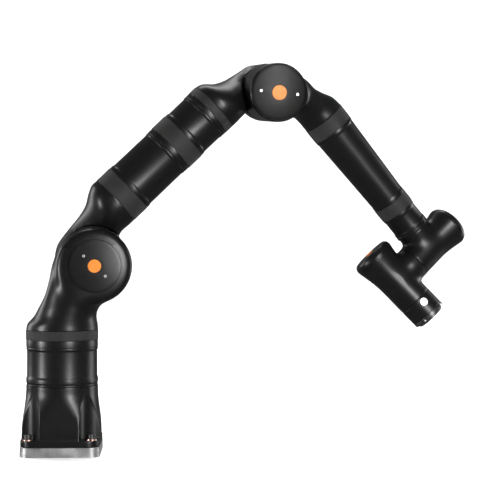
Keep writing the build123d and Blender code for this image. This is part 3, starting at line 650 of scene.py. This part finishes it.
def build_turned():
    """Tubes, drive housings and end caps, with softly rounded shoulders."""
    low, high = BASE_H, JOINT1_Z - GAP
    turned_piece("base_drive_shell", [
        (73.2, low, 0.8), (73.2, low + 1.6, 0.6), (72.8, low + 2.4, 0.7), (72.8, low + 3.8, 0.8),
        (73.8, low + 6.4, 2.4), (73.8, low + 14, 4), (72.0, low + 19, 5), (72.0, low + 71, 4),
        (73.6, low + 74.4, 1.2), (73.6, low + 76, 0.6), (73.0, low + 76.8, 0.6), (73.0, low + 78.2, 0.6),
        (73.6, low + 79, 0.8), (73.6, high, 0.5), (BASE_BORE, high, 0.2), (BASE_BORE, low, 0.2)],
        BASE, "base", "painted_casting", ["base_drive_housing"])

    def grooved(name, node, place, body, r_low, r_high, span, lip, collar, wall):
        """Tube with a lip at its low end and a grooved collar at its high end."""
        low, high = span
        waist_low, waist_high = r_low - 1.6, r_high - 1.4
        turned_piece(name, [
            (r_low, low, 0.5), (r_low, low + lip, 2.2), (waist_low, low + lip + 4, 3.5),
            (waist_high, high - collar - 5, 3.5), (r_high, high - collar - 2, 1.8),
            (r_high, high - collar + 0.4, 0.7), (r_high - 1.1, high - collar + 1.0, 0.5),
            (r_high - 1.1, high - collar + 2, 0.5), (r_high, high - collar + 2.8, 0.7),
            (r_high, high, 0.5), (r_high - wall, high, 0.2), (r_low - wall, low, 0.2)],
            place, body, "painted_casting", [node])

    upper_tube = UPPER @ Matrix.Translation((0, 0, UPPER_OFFSET)) @ TO_X
    grooved("upper_tube", "upper_arm_tube", upper_tube, "upper_arm",
            R_UPPER, R_UPPER_END, UPPER_TUBE, 9, 14, UPPER_WALL)
    grooved("roll_housing", "roll_drive_housing", upper_tube, "upper_arm",
            R_UPPER_END, R_UPPER_END, ROLL_HOUSING, 8, 12, UPPER_WALL)
    fore_tube = FORE @ Matrix.Translation((0, 0, FORE_OFFSET)) @ TO_X
    low, high = FORE_TUBE
    turned_piece("fore_tube", [
        (R_FORE, low, 0.5), (R_FORE, low + 6.5, 2.5), (R_FORE - 1.4, low + 10.5, 4),
        (R_FORE_END - 0.6, high - 10, 3), (R_FORE_END, high - 6, 1.5), (R_FORE_END, high, 0.5),
        (R_FORE_END - 5.2, high, 0.2), (R_FORE - 8, low, 0.2)],
        fore_tube, "forearm", "painted_casting", ["forearm_tube"])
    grooved("fore_drive_housing", "forearm_drive_housing", fore_tube, "forearm",
            R_FORE_DRIVE, R_FORE_DRIVE, FORE_DRIVE, 6, 10, FORE_WALL)

    def end_cap(name, node, place, body, hole):
        """Rounded cap, with a hole in its middle or closed."""
        turned_piece(name, [
            (R_CAP, 0, 0.6), (R_CAP, 3, 3), (R_CAP - 2.0, 9.5, 4.5), (R_CAP - 7.0, 14.2, 4.5),
            (R_CAP - 16, CAP_T, 5), (hole, CAP_T, 0.3 if hole else 0), (hole, 8, 0),
            (R_CAP - 6, 8, 1), (R_CAP - 6, 0, 0.2)],
            place, body, "painted_casting", [node])

    end_cap("wrist_end_cap", "wrist_cap", WRIST @ Matrix.Translation((0, 0, WRIST_SEAT)), "wrist", 0)
    tool_end = TOOL @ Matrix.Translation((-TOOL_SEAT, 0, 0)) @ TO_X.inverted()
    end_cap("tool_end_cap", "tool_drive_cap", tool_end, "tool_drive", CAP_LENS_HOLE)


def finish_nodes():
    """Give every CAD node the finish of its slot."""
    for part in frame["record"]["subparts"]:
        for held in frame["nodes"][part["node"]].material_slots:
            held.material = FINISH[part["material_slot"]]


# ---- Stage, light and camera ----------------------------------------------------------------
def build_stage():
    """Pale round floor that curves up into a pale wall far from the arm."""
    flat, sweep, tall, steps = 6.0, 2.5, 7.0, 96
    path = [(r, 0.0) for r in (0.0, 1.5, 3.0, flat)]
    for a in np.linspace(0.1, math.pi / 2, 16):
        path.append((flat + sweep * math.sin(a), sweep * (1 - math.cos(a))))
    path.append((flat + sweep, tall))
    turns = np.arange(steps) * 2 * math.pi / steps
    verts, faces = [(0, 0, 0)], []
    for r, z in path[1:]:
        verts += [(r * math.cos(a), r * math.sin(a), z) for a in turns]
    for k in range(steps):
        after = (k + 1) % steps
        faces.append((0, 1 + k, 1 + after))
        for row in range(len(path) - 2):
            here, above = 1 + row * steps, 1 + (row + 1) * steps
            faces.append((here + k, above + k, above + after, here + after))
    mesh = bpy.data.meshes.new("pale_floor")
    mesh.from_pydata(verts, [], faces)
    mesh.shade_smooth()
    pale = Shader("pale_floor", Roughness=0.7)
    cloud = pale.ranged(pale.noise(3), 0, 1)
    pale.drive("Base Color", pale.mixed(cloud, (0.90, 0.90, 0.90), (0.92, 0.92, 0.92)))
    pale.bump([(pale.noise(120), 0.05, 0.0005)])
    mesh.materials.append(pale.material)
    floor = bpy.data.objects.new("pale_floor", mesh)
    bpy.context.scene.collection.objects.link(floor)
    floor.visible_glossy = False


def softbox(name, place, target, width, height, power, mirrored=True):
    """Area light; a wash that is not mirrored only lights the stage and matte surfaces."""
    data = bpy.data.lights.new(name, "AREA")
    data.shape, data.size, data.size_y, data.energy = "RECTANGLE", width, height, power
    lamp = bpy.data.objects.new(name, data)
    bpy.context.scene.collection.objects.link(lamp)
    lamp.location = place
    lamp.rotation_euler = (Vector(target) - Vector(place)).to_track_quat("-Z", "Y").to_euler()
    lamp.visible_glossy = mirrored
    lamp.visible_camera = False


def build_light():
    """Keys for the long highlights, rims for the edges, and washes for the stage."""
    middle = (0.3, 0.0, 0.4)
    softbox("right_key", (1.7, -3.1, 0.9), middle, 0.6, 1.9, 165)
    softbox("left_key", (-2.7, -1.3, 0.25), (0.0, 0.0, 0.2), 0.6, 1.0, 85)
    softbox("left_rim", (-2.4, 1.5, 1.0), middle, 0.9, 2.0, 32)
    softbox("right_rim", (2.9, 1.3, 0.6), middle, 0.9, 2.0, 32)
    softbox("top_rim", (0.3, 1.5, 2.9), middle, 2.2, 0.5, 30)
    softbox("top_wash", (0.3, 0.8, 3.6), (0.3, 0.6, 0.0), 3.0, 1.5, 130, mirrored=False)
    softbox("floor_wash", (0.3, 3.0, 4.6), (0.3, 3.5, 0.0), 7.0, 2.5, 230, mirrored=False)
    softbox("back_wash", (0.3, 3.0, 3.6), (0.3, 7.3, 0.8), 7.0, 2.0, 190, mirrored=False)
    world = bpy.data.worlds.new("white_room")
    world.use_nodes = True
    world.node_tree.nodes["Background"].inputs["Color"].default_value = (1, 1, 1, 1)
    world.node_tree.nodes["Background"].inputs["Strength"].default_value = 0.13
    bpy.context.scene.world = world


def build_camera():
    """Long lens from the front, turned a little to the left of the base's own front."""
    turn = math.radians(-2.4)
    data = bpy.data.cameras.new("camera")
    data.sensor_width, data.lens = 36.0, 36.0 * 1409 / 480
    camera = bpy.data.objects.new("camera", data)
    bpy.context.scene.collection.objects.link(camera)
    place = Matrix.Rotation(turn, 4, "Z") @ Vector((0.366, -2.901, 0.4375))
    camera.location = place
    camera.rotation_euler = (math.radians(90), 0, turn)
    bpy.context.scene.camera = camera


build_castings()
build_covers()
build_turned()
finish_nodes()
build_stage()
build_light()
build_camera()
bpy.context.scene.view_settings.view_transform = "Standard"
